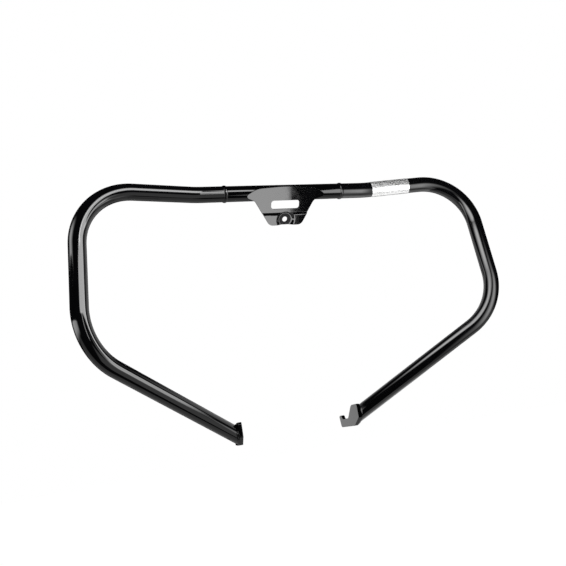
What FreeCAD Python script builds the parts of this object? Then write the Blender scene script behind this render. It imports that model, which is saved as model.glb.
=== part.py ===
"""Motorcycle engine guard: a bent tube loop with a pressed centre bracket and two hook plates.

Frame: X across the motorcycle, Y towards its rear, Z up.
The origin is the middle of the bracket's bolt hole, which holds the guard.
The right-hand side is modelled and the left-hand side is its mirror image.
Pieces are modelled from the middle of the centre tube's axis, then moved to that origin.
"""
import FreeCAD
import Part
import math
import os

Vector = FreeCAD.Vector

# tube stock
tube_diameter = 31.75
tube_wall = 2.6

# route of the tube's axis, as the corners where its straight runs would meet
joint_x = 127.0
arm_bend_x = 185.0
corner_x = 412.0
corner_forward = 41.0
leg_foot_x = 428.5
leg_drop = 290.0
end_x = 133.5
end_back = 140.0
end_drop = 466.4

# bend radii of the tube's axis
arm_bend_radius = 135.0
corner_bend_radius = 109.0
foot_bend_radius = 116.0

# butt weld between the centre tube and each side tube
joint_weld_width = 7.0
joint_weld_height = 1.6

# pressed centre bracket, measured on its own face from the line where it touches the tube
bracket_thickness = 3.0
bracket_tilt = 36.0
bracket_half_width = 90.0
bracket_tip_drop = 2.5
bracket_tip_radius = 5.0
bracket_shoulder_inset = 26.0
bracket_shoulder_rise = 13.2
bracket_shoulder_radius = 40.0
bracket_crown_rise = 17.5
bracket_left_neck_inset = 22.0
bracket_right_neck_inset = 28.5
bracket_neck_drop = 12.0
bracket_neck_radius = 16.0
bracket_foot_half_width = 34.8
bracket_foot_drop = 63.5
bracket_foot_radius = 13.0

# slot in the bracket
slot_length = 62.0
slot_height = 17.6
slot_corner_radius = 6.0
slot_drop = 20.7
slot_offset = -1.6

# joggle that sets the bracket's lower lip forward
joggle_drop = 37.5
joggle_run = 3.5
joggle_rise = 2.8
joggle_radius = 2.5

# round dish pressed into the lip, with the bolt hole through its floor
bolt_hole_diameter = 11.2
bolt_hole_drop = 52.3
dish_rim_radius = 21.0
dish_floor_radius = 13.5
dish_depth = 2.5
dish_draft = 1.0

# stitch welds in the groove between the bracket and the tube
stitch_length = 38.0
stitch_gap = 20.0
stitch_leg = 6.0

# hook plates, measured from the centre of the tube's mitred end
hook_thickness = 8.0
hook_toe_in = 7.0
hook_top_rise = 25.0
hook_bottom_drop = 19.8
hook_front = 24.0
hook_chamfer_top = 4.0
hook_chamfer_run = 21.0
hook_upright_top = 0.0
hook_upright_foot = 20.0
hook_slot_floor = 1.5
hook_slot_width = 25.5
hook_tip_rise = 7.0
hook_tip_width = 10.5
hook_tip_radius = 4.0
hook_corner_radius = 5.0
hook_edge_radius = 0.8

# weld round the tube on each hook plate
hook_weld_leg = 3.2

# drain hole through the underside of each side tube, near its hook plate
drain_hole_diameter = 5.0
drain_hole_distance = 22.0

# foil band wrapped round the right arm
band_start = 16.0
band_length = 84.0
band_thickness = 0.4

tube_radius = tube_diameter / 2.0
bore_radius = tube_radius - tube_wall
origin = Vector(0, 0, 0)
across = Vector(1, 0, 0)
upward = Vector(0, 0, 1)


def unit(vector):
    """Return the vector at length one."""
    return vector * (1.0 / vector.Length)


def rounded_edges(corners, radii, closed=False):
    """Join the corners by straight edges, with a tangent arc of the given radius at each one."""
    count = len(corners)
    turns = range(count) if closed else range(1, count - 1)
    cuts = {}
    edges = []
    for index in turns:
        corner = corners[index]
        before = unit(corners[index - 1] - corner)
        after = unit(corners[(index + 1) % count] - corner)
        half_angle = before.getAngle(after) / 2.0
        radius = radii[index]
        reach = radius / math.tan(half_angle)
        inward = unit(before + after)
        middle = corner + inward * (radius / math.sin(half_angle) - radius)
        cuts[index] = (corner + before * reach, middle, corner + after * reach)
    runs = count if closed else count - 1
    for index in range(runs):
        following = (index + 1) % count
        start = cuts[index][2] if index in cuts else corners[index]
        end = cuts[following][0] if following in cuts else corners[following]
        if start.distanceToPoint(end) > 1e-4:
            edges.append(Part.LineSegment(start, end).toShape())
        if following in cuts:
            edges.append(Part.Arc(*cuts[following]).toShape())
    return edges


def side_route(extra=0.0):
    """Return the corners and bend radii of the right-hand tube's axis.

    The last run is lengthened by the extra, so that the mitre can trim it.
    """
    foot = Vector(leg_foot_x, -corner_forward, -leg_drop)
    end = Vector(end_x, end_back, -end_drop)
    corners = [
        Vector(joint_x, 0, 0),
        Vector(arm_bend_x, 0, 0),
        Vector(corner_x, -corner_forward, 0),
        foot,
        end + unit(end - foot) * extra,
    ]
    radii = [0, arm_bend_radius, corner_bend_radius, foot_bend_radius, 0]
    return corners, radii


def swept_bar(edges, radius):
    """Sweep a disc along the edges: extruded on the straight runs, revolved round the bends."""
    pieces = []
    for edge in edges:
        start = edge.valueAt(edge.FirstParameter)
        tangent = edge.tangentAt(edge.FirstParameter)
        disc = Part.Face(Part.Wire(Part.makeCircle(radius, start, tangent)))
        if edge.Curve.TypeId == "Part::GeomLine":
            pieces.append(disc.extrude(tangent * edge.Length))
        else:
            centre = edge.Curve.Center
            axis = (start - centre).cross(tangent)
            angle = math.degrees(edge.Length / edge.Curve.Radius)
            pieces.append(disc.revolve(centre, axis, angle))
    bar = pieces[0].multiFuse(pieces[1:])
    return bar.removeSplitter()


def mirrored(shape):
    """Return the left-hand twin of a right-hand shape."""
    return shape.mirror(origin, across)


def make_centre_tube():
    """Straight tube between the two butt welds."""
    start = Vector(-joint_x, 0, 0)
    outside = Part.makeCylinder(tube_radius, 2 * joint_x, start, across)
    inside = Part.makeCylinder(bore_radius, 2 * joint_x, start, across)
    return outside.cut(inside)


def hook_placement():
    """Place the hook plate's outline: its X runs rearwards, its Y up and its Z out of the face."""
    angle = math.radians(hook_toe_in)
    rearward = Vector(-math.sin(angle), math.cos(angle), 0)
    outward = Vector(math.cos(angle), math.sin(angle), 0)
    turn = FreeCAD.Rotation(rearward, upward, outward, "ZXY")
    return FreeCAD.Placement(Vector(end_x, end_back, -end_drop), turn)


def behind_hook_face():
    """Return a block on the inner side of the plane that the tube's end is mitred to."""
    size = 8 * tube_diameter
    block = Part.makeBox(size, size, size, Vector(-size / 2, -size / 2, -size))
    block.Placement = hook_placement()
    return block


def end_direction():
    """Return the direction of the tube's last straight run."""
    corners, _ = side_route()
    return unit(corners[-1] - corners[-2])


def drain_hole():
    """Return the drill that makes the drain hole, from the tube's middle out of its underside."""
    run = end_direction()
    sideways = unit(run.cross(upward))
    down = unit(run.cross(sideways))
    if down.z > 0:
        down = down * -1.0
    start = Vector(end_x, end_back, -end_drop) - run * drain_hole_distance
    return Part.makeCylinder(drain_hole_diameter / 2, tube_diameter, start, down)


def make_side_tube():
    """Bent tube from the butt weld to the mitred end on the hook plate."""
    corners, radii = side_route(extra=tube_diameter)
    edges = rounded_edges(corners, radii)
    tube = swept_bar(edges, tube_radius).cut(swept_bar(edges, bore_radius))
    return tube.cut(behind_hook_face()).cut(drain_hole())


def make_joint_weld():
    """Raised bead round the butt joint, as a segment of a circle turned about the tube's axis."""
    half = joint_weld_width / 2
    ends = [Vector(joint_x - half, tube_radius, 0), Vector(joint_x + half, tube_radius, 0)]
    crown = Vector(joint_x, tube_radius + joint_weld_height, 0)
    arc = Part.Arc(ends[0], crown, ends[1]).toShape()
    chord = Part.LineSegment(ends[1], ends[0]).toShape()
    return Part.Face(Part.Wire([arc, chord])).revolve(origin, across, 360)


def bracket_placement():
    """Place the bracket: its X is across, its Y runs up the plate and its Z out of the front face."""
    angle = math.radians(bracket_tilt)
    up_plate = Vector(0, -math.sin(angle), math.cos(angle))
    front = Vector(0, -math.cos(angle), -math.sin(angle))
    turn = FreeCAD.Rotation(across, up_plate, front, "ZXY")
    return FreeCAD.Placement(front * (tube_radius + bracket_thickness), turn)


def bolt_hole_centre():
    """Return the middle of the bolt hole's wall, in the floor of the dish."""
    depth = dish_depth + bracket_thickness / 2
    return bracket_placement().multVec(Vector(0, -bolt_hole_drop, -depth))


def bracket_side(neck_inset):
    """Return the corners of one side of the bracket's outline, from the shoulder down to the foot."""
    return [
        (bracket_half_width - bracket_shoulder_inset, bracket_shoulder_rise, bracket_shoulder_radius),
        (bracket_half_width, -bracket_tip_drop, bracket_tip_radius),
        (bracket_half_width - neck_inset, -bracket_neck_drop, bracket_neck_radius),
        (bracket_foot_half_width, -bracket_foot_drop, bracket_foot_radius),
    ]


def bracket_outline():
    """Face with the bracket's outline: a shallow crown, two pointed ears and a tapering foot."""
    right = bracket_side(bracket_right_neck_inset)
    left = [(-x, y, radius) for x, y, radius in reversed(bracket_side(bracket_left_neck_inset))]
    crown = [(0, bracket_crown_rise, 8 * bracket_shoulder_radius)]
    points = crown + right + left
    corners = [Vector(x, y, 0) for x, y, _ in points]
    radii = [radius for _, _, radius in points]
    return Part.Face(Part.Wire(rounded_edges(corners, radii, closed=True)))


def joggle_line(depth):
    """Return the joggled line at a depth below the front face, as edges in the YZ plane."""
    slope = math.atan2(joggle_rise, joggle_run)
    shift = -depth * math.tan(slope / 2)
    upper_y = -joggle_drop - shift
    lower_y = upper_y - joggle_run
    top = 2 * bracket_crown_rise
    bottom = -2 * bracket_foot_drop
    corners = [
        Vector(0, top, -depth),
        Vector(0, upper_y, -depth),
        Vector(0, lower_y, joggle_rise - depth),
        Vector(0, bottom, joggle_rise - depth),
    ]
    radii = [0, joggle_radius + depth, joggle_radius + bracket_thickness - depth, 0]
    return rounded_edges(corners, radii)


def across_prism(front_edges, back_edges):
    """Fill the strip between two lines of the section and run it across the whole bracket."""
    first = front_edges[0].valueAt(front_edges[0].FirstParameter)
    last = front_edges[-1].valueAt(front_edges[-1].LastParameter)
    back_first = back_edges[0].valueAt(back_edges[0].FirstParameter)
    back_last = back_edges[-1].valueAt(back_edges[-1].LastParameter)
    caps = [Part.LineSegment(last, back_last).toShape(), Part.LineSegment(back_first, first).toShape()]
    wire = Part.Wire(Part.__sortEdges__(front_edges + back_edges + caps))
    width = 2.5 * bracket_half_width
    prism = Part.Face(wire).extrude(Vector(width, 0, 0))
    prism.translate(Vector(-width / 2, 0, 0))
    return prism


def dish_body(grow):
    """Turned body of the dish's front surface, or of its back surface when grown by the sheet."""
    floor = -dish_depth - grow
    rim = dish_rim_radius + 0.85 * grow
    profile = [
        Vector(0, -bolt_hole_drop, floor),
        Vector(dish_floor_radius + 0.25 * grow, -bolt_hole_drop, floor),
        Vector(rim, -bolt_hole_drop, joggle_rise - 0.65 * grow),
        Vector(rim + dish_draft, -bolt_hole_drop, 4 * joggle_rise),
        Vector(0, -bolt_hole_drop, 4 * joggle_rise),
    ]
    face = Part.Face(Part.makePolygon(profile + profile[:1]))
    return face.revolve(profile[0], upward, 360)


def make_bracket():
    """Pressed plate with its slot, joggle, dish and bolt hole."""
    front_edges = joggle_line(0.0)
    sheet = across_prism(front_edges, joggle_line(bracket_thickness))
    deep = dish_depth + 2 * bracket_thickness
    flat_back = [
        Part.LineSegment(Vector(0, 2 * bracket_crown_rise, -deep), Vector(0, -2 * bracket_foot_drop, -deep)).toShape()
    ]
    behind_front = across_prism(front_edges, flat_back)
    cup = dish_body(bracket_thickness)
    hollow = dish_body(0.0)
    wall = cup.common(behind_front)
    plate = sheet.fuse(wall).cut(hollow)
    reach = 4 * deep
    outline = bracket_outline().extrude(Vector(0, 0, reach))
    outline.translate(Vector(0, 0, -reach / 2))
    plate = plate.common(outline)
    left, right = slot_offset - slot_length / 2, slot_offset + slot_length / 2
    low, high = -slot_drop - slot_height / 2, -slot_drop + slot_height / 2
    slot_corners = [Vector(x, y, -reach / 2) for x, y in ((left, low), (right, low), (right, high), (left, high))]
    slot_wire = Part.Wire(rounded_edges(slot_corners, [slot_corner_radius] * 4, closed=True))
    slot = Part.Face(slot_wire).extrude(Vector(0, 0, reach))
    hole = Part.makeCylinder(bolt_hole_diameter / 2, reach, Vector(0, -bolt_hole_drop, -reach / 2))
    plate = plate.cut(slot).cut(hole).removeSplitter()
    plate.Placement = bracket_placement()
    return plate


def make_bracket_weld():
    """Two stitch welds that fill the groove between the bracket's back and the tube's underside."""
    placement = bracket_placement()
    stitches = []
    for side in (-1, 1):
        middle = side * (stitch_gap / 2 + stitch_length / 2)
        block = Part.makeBox(
            stitch_length, stitch_leg, stitch_leg,
            Vector(middle - stitch_length / 2, -stitch_leg - tube_wall, -bracket_thickness - stitch_leg),
        )
        block.Placement = placement
        stitches.append(block.cut(Part.makeCylinder(tube_radius, 4 * joint_x, Vector(-2 * joint_x, 0, 0), across)))
    return Part.makeCompound(stitches)


def hook_outline():
    """Face with the hook plate's outline, seen from its outer side."""
    slot_rear = hook_upright_foot + hook_slot_width
    tip_rear = slot_rear + hook_tip_width
    points = [
        (-hook_front, hook_top_rise, hook_corner_radius),
        (-hook_front, -hook_chamfer_top, hook_corner_radius),
        (hook_chamfer_run - hook_front, -hook_bottom_drop, hook_corner_radius),
        (tip_rear - 3.0, 1.5 - hook_bottom_drop, hook_corner_radius),
        (tip_rear, hook_tip_rise, hook_tip_radius),
        (slot_rear, hook_tip_rise, hook_tip_radius),
        (slot_rear - 3.0, -hook_slot_floor, hook_tip_radius),
        (hook_upright_foot, -hook_slot_floor, hook_tip_radius),
        (hook_upright_top, hook_top_rise, 2 * hook_corner_radius),
    ]
    corners = [Vector(x, y, 0) for x, y, _ in points]
    radii = [radius for _, _, radius in points]
    return Part.Face(Part.Wire(rounded_edges(corners, radii, closed=True)))


def make_hook_plate():
    """Laser-cut plate with its hook, thickness towards the middle of the guard."""
    plate = hook_outline().extrude(Vector(0, 0, -hook_thickness))
    rim = [edge for edge in plate.Edges if edge.BoundBox.ZLength < 1e-6 and edge.BoundBox.ZMax < -1e-6]
    plate = plate.makeFillet(hook_edge_radius, rim)
    plate.Placement = hook_placement()
    return plate


def make_hook_weld():
    """Fillet weld round the tube where it stands on the hook plate, kept inside the plate's edge."""
    run = end_direction()
    start = Vector(end_x, end_back, -end_drop) - run * (2 * tube_diameter)
    slab = hook_outline().extrude(Vector(0, 0, hook_weld_leg))
    slab.Placement = hook_placement()
    collar = Part.makeCylinder(tube_radius + hook_weld_leg * 0.6, 4 * tube_diameter, start, run)
    tube = Part.makeCylinder(tube_radius, 4 * tube_diameter, start, run)
    return collar.common(slab).cut(tube)


def make_foil_band():
    """Thin foil sleeve wrapped round the straight part of the right arm."""
    corners, _ = side_route()
    run = unit(corners[2] - corners[1])
    start = corners[1] + run * band_start
    sleeve = Part.makeCylinder(tube_radius + band_thickness, band_length, start, run)
    return sleeve.cut(Part.makeCylinder(tube_radius, band_length, start, run))


def export(shape, name):
    """Move one piece to the bolt hole's origin, write it and report it."""
    shape.translate(-bolt_hole_centre())
    shape.exportStep("parts/" + name + ".step")
    box = shape.BoundBox
    print(name, "valid", shape.isValid(), "solids", len(shape.Solids), "volume", round(shape.Volume))
    print("   X %.1f to %.1f" % (box.XMin, box.XMax), "Y %.1f to %.1f" % (box.YMin, box.YMax),
          "Z %.1f to %.1f" % (box.ZMin, box.ZMax))


def main():
    """Build every piece and write it to its own file."""
    os.makedirs("parts", exist_ok=True)
    export(make_centre_tube(), "centre_tube")
    export(make_bracket(), "mounting_bracket")
    export(make_bracket_weld(), "bracket_weld")
    export(make_foil_band(), "foil_band")
    pairs = {
        "tube": make_side_tube(),
        "joint_weld": make_joint_weld(),
        "hook_plate": make_hook_plate(),
        "hook_weld": make_hook_weld(),
    }
    for name, shape in pairs.items():
        export(mirrored(shape), "left_" + name)
        export(shape, "right_" + name)


main()
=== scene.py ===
import bpy
import bmesh
import math
from mathutils import Matrix, Vector


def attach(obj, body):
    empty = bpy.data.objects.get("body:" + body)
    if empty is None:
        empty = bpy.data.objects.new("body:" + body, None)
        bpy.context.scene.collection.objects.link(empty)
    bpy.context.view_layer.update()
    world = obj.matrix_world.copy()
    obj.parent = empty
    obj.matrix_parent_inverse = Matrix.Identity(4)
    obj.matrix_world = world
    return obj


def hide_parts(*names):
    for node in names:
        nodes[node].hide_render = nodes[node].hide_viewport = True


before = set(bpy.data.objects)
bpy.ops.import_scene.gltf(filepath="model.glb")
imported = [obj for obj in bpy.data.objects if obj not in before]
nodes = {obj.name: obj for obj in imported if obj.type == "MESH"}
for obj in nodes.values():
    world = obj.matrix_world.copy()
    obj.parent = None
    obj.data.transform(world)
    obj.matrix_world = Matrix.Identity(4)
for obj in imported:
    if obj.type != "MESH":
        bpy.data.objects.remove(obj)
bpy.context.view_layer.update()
print("frame loaded:", len(nodes), "nodes")

mm = 0.001
tubeMiddle = Vector((0, -18.707, 51.055)) * mm  # middle of the centre tube's axis in the frame


# helpers
def newPiece(name, bm, material):
    mesh = bpy.data.meshes.new(name)
    bm.to_mesh(mesh)
    bm.free()
    for polygon in mesh.polygons:
        polygon.use_smooth = True
    piece = bpy.data.objects.new(name, mesh)
    bpy.context.scene.collection.objects.link(piece)
    mesh.materials.append(material)
    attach(piece, "root")
    return piece


def ringOf(geom):
    return [part for part in geom if isinstance(part, (bmesh.types.BMEdge, bmesh.types.BMVert))]


def startRing(bm, centre, direction, radius, segments):
    place = Matrix.Translation(centre) @ direction.to_track_quat("Z", "Y").to_matrix().to_4x4()
    made = bmesh.ops.create_circle(bm, segments=segments, radius=radius, matrix=place)
    edges = list({edge for vert in made["verts"] for edge in vert.link_edges})
    return made["verts"] + edges


def runStraight(bm, ring, offset, steps=1):
    for _ in range(steps):
        edges = [part for part in ring if isinstance(part, bmesh.types.BMEdge)]
        made = bmesh.ops.extrude_edge_only(bm, edges=edges)
        verts = [part for part in made["geom"] if isinstance(part, bmesh.types.BMVert)]
        bmesh.ops.translate(bm, verts=verts, vec=offset / steps)
        found = set(verts)
        ends = [part for part in made["geom"]
                if isinstance(part, bmesh.types.BMEdge) and set(part.verts) <= found]
        ring = verts + ends
    return ring


def runBend(bm, ring, centre, axis, angle, steps):
    made = bmesh.ops.spin(bm, geom=ring, cent=centre, axis=axis, angle=angle, steps=steps,
                          use_duplicate=False)
    return ringOf(made["geom_last"])


def sweepRoute(bm, corners, radii, tubeRadius, segments, bendSteps, runSteps=4, lastSteps=6):
    heading = (corners[1] - corners[0]).normalized()
    at = corners[0]
    ring = startRing(bm, at, heading, tubeRadius, segments)
    for index in range(1, len(corners)):
        corner = corners[index]
        if index == len(corners) - 1:
            return runStraight(bm, ring, corner - at, lastSteps)
        following = (corners[index + 1] - corner).normalized()
        turn = heading.angle(following)
        reach = radii[index] * math.tan(turn / 2)
        ring = runStraight(bm, ring, corner - heading * reach - at, runSteps)
        at = corner - heading * reach
        axis = heading.cross(following).normalized()
        centre = at + axis.cross(heading) * radii[index]
        ring = runBend(bm, ring, centre, axis, turn, bendSteps[index])
        at = corner + following * reach
        heading = following
    return ring


# materials
coat = dict(mottleScale=35, mottleStops=((0.3, (0.0009, 0.0009, 0.0011)), (0.7, (0.0018, 0.0018, 0.0023))),
            dustScale=1900, dustFrom=0.76, dustFull=0.82, dustColour=(0.05, 0.05, 0.055, 1),
            glossScale=60, glossStops=((0.3, (0.035,) * 3), (0.75, (0.07,) * 3)),
            refraction=1.52, sheen=0.5, peelDepth=0.0002)


def newMaterial(name):
    material = bpy.data.materials.new(name)
    material.use_nodes = True
    tree = material.node_tree
    shader = tree.nodes["Principled BSDF"]
    coords = tree.nodes.new("ShaderNodeTexCoord")
    return material, tree, shader, coords


def addNoise(tree, coords, scale, detail):
    noise = tree.nodes.new("ShaderNodeTexNoise")
    noise.inputs["Scale"].default_value = scale
    noise.inputs["Detail"].default_value = detail
    tree.links.new(coords.outputs["Object"], noise.inputs["Vector"])
    return noise


def addRamp(tree, source, stops):
    ramp = tree.nodes.new("ShaderNodeValToRGB")
    ramp.color_ramp.elements[0].position = stops[0][0]
    ramp.color_ramp.elements[0].color = (*stops[0][1], 1)
    ramp.color_ramp.elements[1].position = stops[-1][0]
    ramp.color_ramp.elements[1].color = (*stops[-1][1], 1)
    for position, colour in stops[1:-1]:
        element = ramp.color_ramp.elements.new(position)
        element.color = (*colour, 1)
    tree.links.new(source, ramp.inputs["Fac"])
    return ramp


def remap(tree, source, fromRange, toRange):
    spread = tree.nodes.new("ShaderNodeMapRange")
    spread.interpolation_type = "SMOOTHSTEP"
    spread.inputs["From Min"].default_value, spread.inputs["From Max"].default_value = fromRange
    spread.inputs["To Min"].default_value, spread.inputs["To Max"].default_value = toRange
    tree.links.new(source, spread.inputs["Value"])
    return spread.outputs["Result"]


def addBump(tree, shader, height, strength, distance):
    bump = tree.nodes.new("ShaderNodeBump")
    bump.inputs["Strength"].default_value = strength
    bump.inputs["Distance"].default_value = distance
    tree.links.new(height, bump.inputs["Height"])
    tree.links.new(bump.outputs["Normal"], shader.inputs["Normal"])


def powderCoat(name, peelScale, peelStrength, dustAmount, dullSeat=None):
    material, tree, shader, coords = newMaterial(name)
    mottle = addNoise(tree, coords, coat["mottleScale"], detail=6.0)
    colour = addRamp(tree, mottle.outputs["Fac"], coat["mottleStops"])
    dust = addNoise(tree, coords, coat["dustScale"], detail=2.0)
    specks = addRamp(tree, dust.outputs["Fac"],
                     ((coat["dustFrom"], (0, 0, 0)), (coat["dustFull"], (dustAmount,) * 3)))
    mix = tree.nodes.new("ShaderNodeMix")
    mix.data_type = "RGBA"
    mix.inputs["B"].default_value = coat["dustColour"]
    tree.links.new(specks.outputs["Color"], mix.inputs["Factor"])
    tree.links.new(colour.outputs["Color"], mix.inputs["A"])
    tree.links.new(mix.outputs["Result"], shader.inputs["Base Color"])
    gloss = addNoise(tree, coords, coat["glossScale"], detail=3.0)
    roughness = addRamp(tree, gloss.outputs["Fac"], coat["glossStops"]).outputs["Color"]
    if dullSeat:  # the coat is dull where the bolt's washer sits, round the frame's origin
        reach = tree.nodes.new("ShaderNodeVectorMath")
        reach.operation = "LENGTH"
        tree.links.new(coords.outputs["Object"], reach.inputs[0])
        within = tree.nodes.new("ShaderNodeMapRange")
        within.inputs["From Min"].default_value = dullSeat["radius"] * mm
        within.inputs["From Max"].default_value = (dullSeat["radius"] + dullSeat["edge"]) * mm
        within.inputs["To Min"].default_value = 1
        within.inputs["To Max"].default_value = 0
        tree.links.new(reach.outputs["Value"], within.inputs["Value"])
        seat = tree.nodes.new("ShaderNodeMix")
        seat.data_type = "RGBA"
        seat.inputs["B"].default_value = (dullSeat["roughness"],) * 3 + (1,)
        tree.links.new(within.outputs["Result"], seat.inputs["Factor"])
        tree.links.new(roughness, seat.inputs["A"])
        roughness = seat.outputs["Result"]
        sheen = remap(tree, within.outputs["Result"], (0, 1), (coat["sheen"], dullSeat["sheen"]))
        tree.links.new(sheen, shader.inputs["Specular IOR Level"])
    tree.links.new(roughness, shader.inputs["Roughness"])
    shader.inputs["IOR"].default_value = coat["refraction"]
    shader.inputs["Specular IOR Level"].default_value = coat["sheen"]
    peel = addNoise(tree, coords, peelScale, detail=2.0)
    addBump(tree, shader, peel.outputs["Fac"], peelStrength, coat["peelDepth"])
    return material


foilFinish = dict(stretch=(9, 60, 60), turn=10, streakScale=4, streakDetail=5,
                  tones=((0.3, (0.62, 0.62, 0.61)), (0.55, (0.82, 0.82, 0.82)), (0.75, (0.9, 0.9, 0.9))),
                  roughStops=((0.3, (0.22,) * 3), (0.7, (0.4,) * 3)), metallic=0.75,
                  wrinkleScale=120, wrinkleStrength=0.35, wrinkleDepth=0.0006)


def foilMetal(name):
    material, tree, shader, coords = newMaterial(name)
    stretch = tree.nodes.new("ShaderNodeMapping")
    stretch.inputs["Scale"].default_value = foilFinish["stretch"]
    stretch.inputs["Rotation"].default_value = (0, 0, math.radians(foilFinish["turn"]))
    tree.links.new(coords.outputs["Object"], stretch.inputs["Vector"])
    streak = tree.nodes.new("ShaderNodeTexNoise")
    streak.inputs["Scale"].default_value = foilFinish["streakScale"]
    streak.inputs["Detail"].default_value = foilFinish["streakDetail"]
    tree.links.new(stretch.outputs["Vector"], streak.inputs["Vector"])
    colour = addRamp(tree, streak.outputs["Fac"], foilFinish["tones"])
    tree.links.new(colour.outputs["Color"], shader.inputs["Base Color"])
    rough = addRamp(tree, streak.outputs["Fac"], foilFinish["roughStops"])
    tree.links.new(rough.outputs["Color"], shader.inputs["Roughness"])
    shader.inputs["Metallic"].default_value = foilFinish["metallic"]
    wrinkle = addNoise(tree, coords, foilFinish["wrinkleScale"], detail=3.0)
    addBump(tree, shader, wrinkle.outputs["Fac"], foilFinish["wrinkleStrength"], foilFinish["wrinkleDepth"])
    return material


coatedTube = powderCoat("coatedTube", peelScale=260, peelStrength=0.05, dustAmount=0.25)
coatedPlate = powderCoat("coatedPlate", peelScale=320, peelStrength=0.012, dustAmount=0.25,
                         dullSeat=dict(radius=12.5, edge=1.0, roughness=0.36, sheen=0.12))
coatedWeld = powderCoat("coatedWeld", peelScale=700, peelStrength=0.25, dustAmount=0.3)
foil = foilMetal("foilSleeve")
print("materials made")


# tubes
tube = dict(radius=15.875, segments=96, joint=127.0, armBend=185.0, cornerX=412.0, cornerForward=41.0,
            footX=428.5, legDrop=290.0, end=(133.5, 140.0, -466.4), toeIn=7.0,
            bends=(0, 135.0, 109.0, 116.0, 0), bendSteps=(0, 16, 48, 36, 0), spare=30.0,
            trimBelow=-350.0, cutWithin=0.001, sharpFrom=35,
            centreSteps=24)  # lengths in mm, toeIn and sharpFrom in degrees
drain = dict(radius=2.5, fromEnd=22.0, depth=9.0, segments=32)
hookFacing = Vector((math.cos(math.radians(tube["toeIn"])), math.sin(math.radians(tube["toeIn"])), 0))
rightEnd = tubeMiddle + Vector(tube["end"]) * mm
foot = tubeMiddle + Vector((tube["footX"], -tube["cornerForward"], -tube["legDrop"])) * mm
lastRun = (rightEnd - foot).normalized()
route = [
    tubeMiddle + Vector((tube["joint"], 0, 0)) * mm,
    tubeMiddle + Vector((tube["armBend"], 0, 0)) * mm,
    tubeMiddle + Vector((tube["cornerX"], -tube["cornerForward"], 0)) * mm,
    foot,
    rightEnd + lastRun * tube["spare"] * mm,
]


def closeEnds(bm):
    bmesh.ops.holes_fill(bm, edges=[edge for edge in bm.edges if edge.is_boundary], sides=0)
    bmesh.ops.recalc_face_normals(bm, faces=bm.faces[:])


def markSharp(mesh, angle):
    bm = bmesh.new()
    bm.from_mesh(mesh)
    for edge in bm.edges:
        edge.smooth = len(edge.link_faces) != 2 or edge.calc_face_angle(0) < math.radians(angle)
    bm.to_mesh(mesh)
    bm.free()


def drillHole(piece, centre, direction, radius, depth, segments):
    bm = bmesh.new()
    turn = direction.to_track_quat("Z", "Y").to_matrix().to_4x4()
    bmesh.ops.create_cone(bm, cap_ends=True, segments=segments, radius1=radius, radius2=radius,
                          depth=2 * depth, matrix=Matrix.Translation(centre) @ turn)
    drillMesh = bpy.data.meshes.new("drill")
    bm.to_mesh(drillMesh)
    bm.free()
    drill = bpy.data.objects.new("drill", drillMesh)
    bpy.context.scene.collection.objects.link(drill)
    cut = piece.modifiers.new("drain hole", "BOOLEAN")
    cut.object = drill
    cut.operation = "DIFFERENCE"
    cut.solver = "EXACT"
    bpy.context.view_layer.update()
    drilled = bpy.data.meshes.new_from_object(piece.evaluated_get(bpy.context.evaluated_depsgraph_get()))
    piece.modifiers.remove(cut)
    piece.data = drilled
    bpy.data.objects.remove(drill)


bm = bmesh.new()
sweepRoute(bm, route, [radius * mm for radius in tube["bends"]], tube["radius"] * mm,
           tube["segments"], tube["bendSteps"])
lowFaces = [face for face in bm.faces if face.calc_center_median().z < tube["trimBelow"] * mm]
lowEdges = list({edge for face in lowFaces for edge in face.edges})
lowVerts = list({vert for face in lowFaces for vert in face.verts})
bmesh.ops.bisect_plane(bm, geom=lowVerts + lowEdges + lowFaces, plane_co=rightEnd,
                       plane_no=hookFacing, clear_inner=True, dist=tube["cutWithin"] * mm)
closeEnds(bm)
leftBm = bm.copy()
bmesh.ops.scale(leftBm, verts=leftBm.verts[:], vec=(-1, 1, 1))
bmesh.ops.recalc_face_normals(leftBm, faces=leftBm.faces[:])
rightTube = newPiece("rightTube", bm, coatedTube)
leftTube = newPiece("leftTube", leftBm, coatedTube)
drainFacing = lastRun.cross(lastRun.cross(Vector((0, 0, 1))).normalized()).normalized()
if drainFacing.z > 0:
    drainFacing.negate()
underside = rightEnd - lastRun * drain["fromEnd"] * mm + drainFacing * tube["radius"] * mm
for piece, side in ((rightTube, 1), (leftTube, -1)):
    drillHole(piece, Vector((side * underside.x, underside.y, underside.z)),
              Vector((side * drainFacing.x, drainFacing.y, drainFacing.z)),
              drain["radius"] * mm, drain["depth"] * mm, drain["segments"])
    markSharp(piece.data, tube["sharpFrom"])

bm = bmesh.new()
ring = startRing(bm, tubeMiddle - Vector((tube["joint"], 0, 0)) * mm, Vector((1, 0, 0)),
                 tube["radius"] * mm, tube["segments"])
runStraight(bm, ring, Vector((2 * tube["joint"], 0, 0)) * mm, tube["centreSteps"])
closeEnds(bm)
centreTube = newPiece("centreTube", bm, coatedTube)
markSharp(centreTube.data, tube["sharpFrom"])
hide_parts("centre_tube")
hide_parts("right_tube")
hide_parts("left_tube")
print("tubes made")


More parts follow.
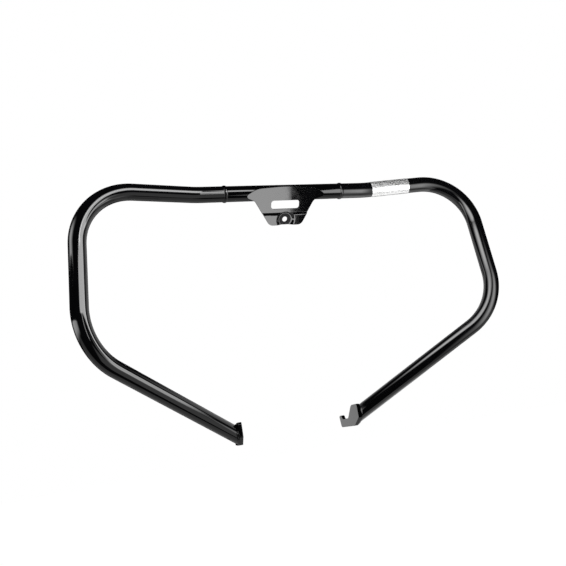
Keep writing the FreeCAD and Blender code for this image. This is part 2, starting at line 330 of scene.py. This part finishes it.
# joint welds
bead = dict(width=7.0, height=1.6, segments=20, around=144, ripples=40, rippleDepth=0.18)
for side, label in ((1, "right"), (-1, "left")):
    bm = bmesh.new()
    crown = tubeMiddle + Vector((side * tube["joint"], tube["radius"], 0)) * mm
    made = bmesh.ops.create_circle(bm, segments=bead["segments"], radius=1.0)
    bmesh.ops.scale(bm, verts=made["verts"], vec=(bead["width"] / 2 * mm, bead["height"] * mm, 1))
    bmesh.ops.translate(bm, verts=made["verts"], vec=crown)
    bmesh.ops.spin(bm, geom=bm.verts[:] + bm.edges[:], cent=tubeMiddle, axis=(1, 0, 0), angle=math.tau,
                   steps=bead["around"], use_merge=True, use_duplicate=False)
    for vert in bm.verts:  # the arc's ripples, deepest on the crown
        out = vert.co - tubeMiddle
        out.x = 0
        lift = max(0.0, out.length - tube["radius"] * mm) / (bead["height"] * mm)
        wave = 0.5 - 0.5 * math.cos(bead["ripples"] * math.atan2(out.z, out.y))
        vert.co -= out.normalized() * bead["rippleDepth"] * mm * lift * wave
    bmesh.ops.recalc_face_normals(bm, faces=bm.faces[:])
    jointBead = newPiece(label + "JointBead", bm, coatedWeld)
    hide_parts(label + "_joint_weld")
print("joint beads made")


# plates from the frame
plates = dict(bracketRim=1.1, hookRim=0.5, rimSegments=3, rimFrom=50, sharpFrom=38, flatWithin=0.1,
              mergeWithin=0.002, flatArea=60)  # lengths in mm, angles in degrees, flatArea in square mm


def smoothFan(face, vert):
    fan = {face}
    fresh = [face]
    while fresh:
        for edge in fresh.pop().edges:
            if vert in edge.verts and edge.smooth:
                for other in edge.link_faces:
                    if other not in fan:
                        fan.add(other)
                        fresh.append(other)
    return fan


def cornerNormals(bm, flatArea):  # flats stay flat, everything round them is shaded smoothly
    normals = []
    for face in bm.faces:
        for loop in face.loops:
            fan = smoothFan(face, loop.vert)
            widest = max(fan, key=lambda near: near.calc_area())
            if widest.calc_area() > flatArea:
                normals.append(widest.normal.copy())
            else:
                normals.append(sum((near.normal * near.calc_area() for near in fan), Vector()).normalized())
    return normals


def softenedCopy(nodeName, name, material, rimWidth):
    bm = bmesh.new()
    bm.from_mesh(nodes[nodeName].data)
    bmesh.ops.transform(bm, matrix=nodes[nodeName].matrix_world, verts=bm.verts[:])
    bmesh.ops.remove_doubles(bm, verts=bm.verts[:], dist=plates["mergeWithin"] * mm)
    bmesh.ops.dissolve_limit(bm, angle_limit=math.radians(plates["flatWithin"]),
                             verts=bm.verts[:], edges=bm.edges[:])
    bmesh.ops.recalc_face_normals(bm, faces=bm.faces[:])
    if rimWidth:
        rim = [edge for edge in bm.edges
               if len(edge.link_faces) == 2 and edge.calc_face_angle(0) > math.radians(plates["rimFrom"])]
        bmesh.ops.bevel(bm, geom=rim, offset=rimWidth * mm, segments=plates["rimSegments"], profile=0.5,
                        affect="EDGES", clamp_overlap=True, material=-1)
    for edge in bm.edges:
        if len(edge.link_faces) == 2 and edge.calc_face_angle(0) > math.radians(plates["sharpFrom"]):
            edge.smooth = False
    normals = cornerNormals(bm, plates["flatArea"] * mm * mm)
    piece = newPiece(name, bm, material)
    piece.data.normals_split_custom_set(normals)
    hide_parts(nodeName)


softenedCopy("mounting_bracket", "centreBracket", coatedPlate, plates["bracketRim"])
for label in ("right", "left"):
    softenedCopy(label + "_hook_plate", label + "HookPlate", coatedPlate, plates["hookRim"])
    softenedCopy(label + "_hook_weld", label + "HookBead", coatedWeld, 0)
print("plates made")


# foil sleeve
sleeve = dict(start=16.0, length=84.0, thickness=0.4, wall=0.3, segments=128, steps=24, sharpFrom=45)
armRun = (route[2] - route[1]).normalized()
bm = bmesh.new()
ring = startRing(bm, route[1] + armRun * sleeve["start"] * mm, armRun,
                 (tube["radius"] + sleeve["thickness"]) * mm, sleeve["segments"])
runStraight(bm, ring, armRun * sleeve["length"] * mm, sleeve["steps"])
bmesh.ops.recalc_face_normals(bm, faces=bm.faces[:])
bmesh.ops.solidify(bm, geom=bm.faces[:], thickness=sleeve["wall"] * mm)
bmesh.ops.recalc_face_normals(bm, faces=bm.faces[:])
foilSleeve = newPiece("foilSleeve", bm, foil)
markSharp(foilSleeve.data, sleeve["sharpFrom"])
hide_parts("foil_band")

nodes["bracket_weld"].data.materials.clear()
nodes["bracket_weld"].data.materials.append(coatedWeld)
print("foil sleeve made")


# floor, light and camera
stage = dict(floorDrop=0.80, floorSize=12.0, floorCells=8, floorGrain=3, floorRoughness=0.9, floorGlow=1.0,
             floorTones=((0.3, (0.90, 0.90, 0.90)), (0.7, (0.93, 0.93, 0.93))), backdrop=1.0,
             room=0.015, bounce=0.5, bounceTop=(-0.44, -0.26), shadeFrom=(-85, -65), shadeTo=(62, 80))
floorMaterial, tree, shader, coords = newMaterial("paleFloor")
grain = addNoise(tree, coords, stage["floorGrain"], detail=4.0)
tone = addRamp(tree, grain.outputs["Fac"], stage["floorTones"])
tree.links.new(tone.outputs["Color"], shader.inputs["Base Color"])
shader.inputs["Roughness"].default_value = stage["floorRoughness"]
shader.inputs["Emission Color"].default_value = (1, 1, 1, 1)
shader.inputs["Emission Strength"].default_value = stage["floorGlow"]
bm = bmesh.new()
bmesh.ops.create_grid(bm, x_segments=stage["floorCells"], y_segments=stage["floorCells"],
                      size=stage["floorSize"],
                      matrix=Matrix.Translation(tubeMiddle - Vector((0, 0, stage["floorDrop"]))))
floorMesh = bpy.data.meshes.new("floor")
bm.to_mesh(floorMesh)
bm.free()
floorMesh.materials.append(floorMaterial)
floor = bpy.data.objects.new("floor", floorMesh)
floor.visible_glossy = False  # the world and the soft boxes stand in for it in the gloss
floor.visible_diffuse = False
floor.visible_shadow = False
bpy.context.scene.collection.objects.link(floor)


def combine(tree, operation, *sources):
    result = sources[0]
    for source in sources[1:]:
        join = tree.nodes.new("ShaderNodeMath")
        join.operation = operation
        tree.links.new(result, join.inputs[0])
        tree.links.new(source, join.inputs[1])
        result = join.outputs["Value"]
    return result


# The camera sees a white backdrop. The gloss sees a dark room, whose floor is grey beside and behind the
# guard and dark in front of it: shadeFrom and shadeTo are the bearings, in degrees, where that changes.
world = bpy.data.worlds.new("studio")
world.use_nodes = True
bpy.context.scene.world = world
worldTree = world.node_tree
backdrop = worldTree.nodes["Background"]
backdrop.inputs["Color"].default_value = (1, 1, 1, 1)
backdrop.inputs["Strength"].default_value = stage["backdrop"]
room = worldTree.nodes.new("ShaderNodeBackground")
room.inputs["Color"].default_value = (1, 1, 1, 1)
direction = worldTree.nodes.new("ShaderNodeTexCoord")
axes = worldTree.nodes.new("ShaderNodeSeparateXYZ")
worldTree.links.new(direction.outputs["Generated"], axes.inputs["Vector"])
forward = worldTree.nodes.new("ShaderNodeMath")
forward.operation = "MULTIPLY"
forward.inputs[1].default_value = -1
worldTree.links.new(axes.outputs["Y"], forward.inputs[0])
bearing = combine(worldTree, "ARCTAN2", axes.outputs["X"], forward.outputs["Value"])
low = remap(worldTree, axes.outputs["Z"], stage["bounceTop"], (1, 0))
leftOfShade = remap(worldTree, bearing, [math.radians(a) for a in stage["shadeFrom"]], (1, 0))
rightOfShade = remap(worldTree, bearing, [math.radians(a) for a in stage["shadeTo"]], (0, 1))
lit = combine(worldTree, "MULTIPLY", low, combine(worldTree, "ADD", leftOfShade, rightOfShade))
level = remap(worldTree, lit, (0, 1), (stage["room"], stage["bounce"]))
worldTree.links.new(level, room.inputs["Strength"])
seen = worldTree.nodes.new("ShaderNodeLightPath")
choose = worldTree.nodes.new("ShaderNodeMixShader")
worldTree.links.new(seen.outputs["Is Camera Ray"], choose.inputs[0])
worldTree.links.new(room.outputs["Background"], choose.inputs[1])
worldTree.links.new(backdrop.outputs["Background"], choose.inputs[2])
worldTree.links.new(choose.outputs["Shader"], worldTree.nodes["World Output"].inputs["Surface"])


def litOnly(group, names):
    receivers = bpy.data.collections.new(group)
    for name in names:
        receivers.objects.link(bpy.data.objects[name])
    return receivers


def fadeEdges(light, fades):
    light.use_nodes = True
    lightTree = light.node_tree
    place = lightTree.nodes.new("ShaderNodeNewGeometry")
    parts = lightTree.nodes.new("ShaderNodeSeparateXYZ")
    lightTree.links.new(place.outputs["Parametric"], parts.inputs["Vector"])
    shades = []
    for axis, (low, high) in (("X", fades[:2]), ("Y", fades[2:])):
        if low:
            shades.append(remap(lightTree, parts.outputs[axis], (0, low), (0, 1)))
        if high:
            shades.append(remap(lightTree, parts.outputs[axis], (1 - high, 1), (1, 0)))
    shade = combine(lightTree, "MULTIPLY", *shades)
    lightTree.links.new(shade, lightTree.nodes["Emission"].inputs["Strength"])


def softBox(name, receivers, bearing, height, glare, distance=5.0, seenFrom=tubeMiddle,
            fades=(0, 0, 0, 0), roll=0):
    middle = math.radians(sum(bearing) / 2)
    rise = math.radians(sum(height) / 2)
    light = bpy.data.lights.new(name, "AREA")
    light.shape = "RECTANGLE"
    light.size = 2 * distance * math.tan(math.radians(bearing[1] - bearing[0]) / 2) * math.cos(rise)
    light.size_y = 2 * distance * math.tan(math.radians(height[1] - height[0]) / 2)
    light.energy = glare * math.pi * light.size * light.size_y
    if any(fades):
        fadeEdges(light, fades)
    lamp = bpy.data.objects.new(name, light)
    toLamp = Vector((math.sin(middle) * math.cos(rise), -math.cos(middle) * math.cos(rise), math.sin(rise)))
    lamp.location = seenFrom + toLamp * distance
    lamp.rotation_euler = (-toLamp).to_track_quat("-Z", "Y").to_euler()
    if roll:
        lamp.rotation_euler.rotate_axis("Z", math.radians(roll))
    lamp.visible_camera = False
    lamp.light_linking.receiver_collection = receivers
    bpy.context.scene.collection.objects.link(lamp)


# Each side has its own boxes. Bearing runs from the front towards +X; bearing and height are in degrees,
# seen from the tube's middle or from the right upper bend. Fades are the shares of the box that its four
# edges take to die out. The seven right boxes hold the rounded result of a fit to the highlights.
rightBend = tubeMiddle + Vector((0.41, -0.04, -0.08))  # near the right upper bend, in metres
leftSide = litOnly("leftSide", ["leftTube", "leftJointBead", "leftHookPlate", "leftHookBead"])
rightSide = litOnly("rightSide", ["rightTube", "rightJointBead", "rightHookBead", "foilSleeve"])
centreOnly = litOnly("centreOnly", ["centreTube"])
bracketOnly = litOnly("bracketOnly", ["centreBracket", "bracket_weld"])
hookOnly = litOnly("hookOnly", ["rightHookPlate"])

softBox("leftMain", leftSide, (13, 38), (17, 37), 9, fades=(0.2, 0, 0, 0.5))
softBox("leftStrip", leftSide, (-3, 72), (4, 19), 8.5, fades=(0.1, 0.15, 0.15, 0))
softBox("leftEdge", leftSide, (12, 18), (-16, 6), 5)
softBox("leftDiagonal", leftSide, (52, 72), (-26, 12), 6, fades=(0.25, 0.25, 0.2, 0.1), roll=-33)
softBox("leftBlur", leftSide, (38, 60), (-30, 2), 1.4, fades=(0.2, 0.2, 0.3, 0.3))
softBox("leftPatch", leftSide, (65, 81), (-40, -10), 2.4, fades=(0.2, 0.3, 0.3, 0.3))
softBox("leftHigh", leftSide, (-122, -52), (18.5, 49), 5, fades=(0.5, 0.5, 0, 0.7))
softBox("leftLow", leftSide, (-140, -48), (-24, -1), 4.5, fades=(0.5, 0.3, 0.6, 0.1), roll=-6)
softBox("leftFront", leftSide, (4, 84), (-64, -20), 0.7, fades=(0.1, 0.1, 0, 0.2))
softBox("leftFar", leftSide, (84, 150), (-30, 32), 0.8, fades=(0.1, 0.1, 0.2, 0.2))
softBox("rightMain", rightSide, (-93.1, -16.0), (-21.6, 9.1), 8.9,
        distance=0.42, seenFrom=rightBend, fades=(0.58, 0.33, 0.51, 0.21), roll=3)
softBox("rightUpper", rightSide, (-88.4, -34.9), (10.8, 50.7), 9.5,
        distance=0.61, seenFrom=rightBend, fades=(0.47, 0.23, 0.25, 0.90), roll=8)
softBox("rightFront", rightSide, (-20.7, 51.9), (-80.0, 9.9), 6.3,
        distance=0.52, seenFrom=rightBend, fades=(0.58, 0.58, 0.50, 0.37), roll=19)
softBox("rightTail", rightSide, (-155.0, -67.1), (-17.1, -2.3), 3.8,
        distance=0.52, seenFrom=rightBend, fades=(0.89, 0.02, 0.24, 0.66), roll=-30)
softBox("rightBack", rightSide, (-198.6, -123.6), (-17.6, 69.3), 1.1,
        distance=5.00, seenFrom=rightBend, fades=(0.21, 0.30, 0.56, 0.54), roll=-12)
softBox("rightBase", rightSide, (-198.2, -115.9), (-69.3, -2.4), 0.5,
        distance=0.69, seenFrom=rightBend, fades=(0.03, 0.15, 0.49, 0.02), roll=-10)
softBox("rightFar", rightSide, (81.1, 153.8), (-110.6, -20.6), 0.9,
        distance=1.21, seenFrom=rightBend, fades=(0.90, 0.06, 0.02, 0.02), roll=-40)
softBox("centreStrip", centreOnly, (0, 21), (8, 30), 8.5, fades=(0.1, 0.15, 0.15, 0.15))
softBox("centreFront", centreOnly, (24, 62), (-50, 9), 5, fades=(0, 0.4, 0.3, 0.15))
softBox("bracketGlow", bracketOnly, (-31.6, 31.6), (-63, -37), 6.5)
softBox("bracketDusk", bracketOnly, (-33.6, 33.6), (-47.8, -37), 0.7, fades=(0, 0.1, 0.05, 0))
softBox("bracketLine", bracketOnly, (24.5, 50), (-30, -20), 9)
softBox("bracketDish", bracketOnly, (-16, 8), (-30, -12), 6)
softBox("hookGlow", hookOnly, (200, 240), (-10, 30), 2.2)

view = dict(lens=41.088, sensor=36.0, place=(-0.48244, -1.16010, -0.48649),
            turn=(103.5125, 9.4627, -18.8363))  # place in metres from the tube's middle, turn in degrees
cameraData = bpy.data.cameras.new("photoCamera")
cameraData.lens = view["lens"]
cameraData.sensor_width = view["sensor"]
camera = bpy.data.objects.new("photoCamera", cameraData)
camera.location = tubeMiddle + Vector(view["place"])
camera.rotation_euler = [math.radians(angle) for angle in view["turn"]]
bpy.context.scene.collection.objects.link(camera)
bpy.context.scene.camera = camera
bpy.context.scene.view_settings.view_transform = "Standard"
print("stage made")
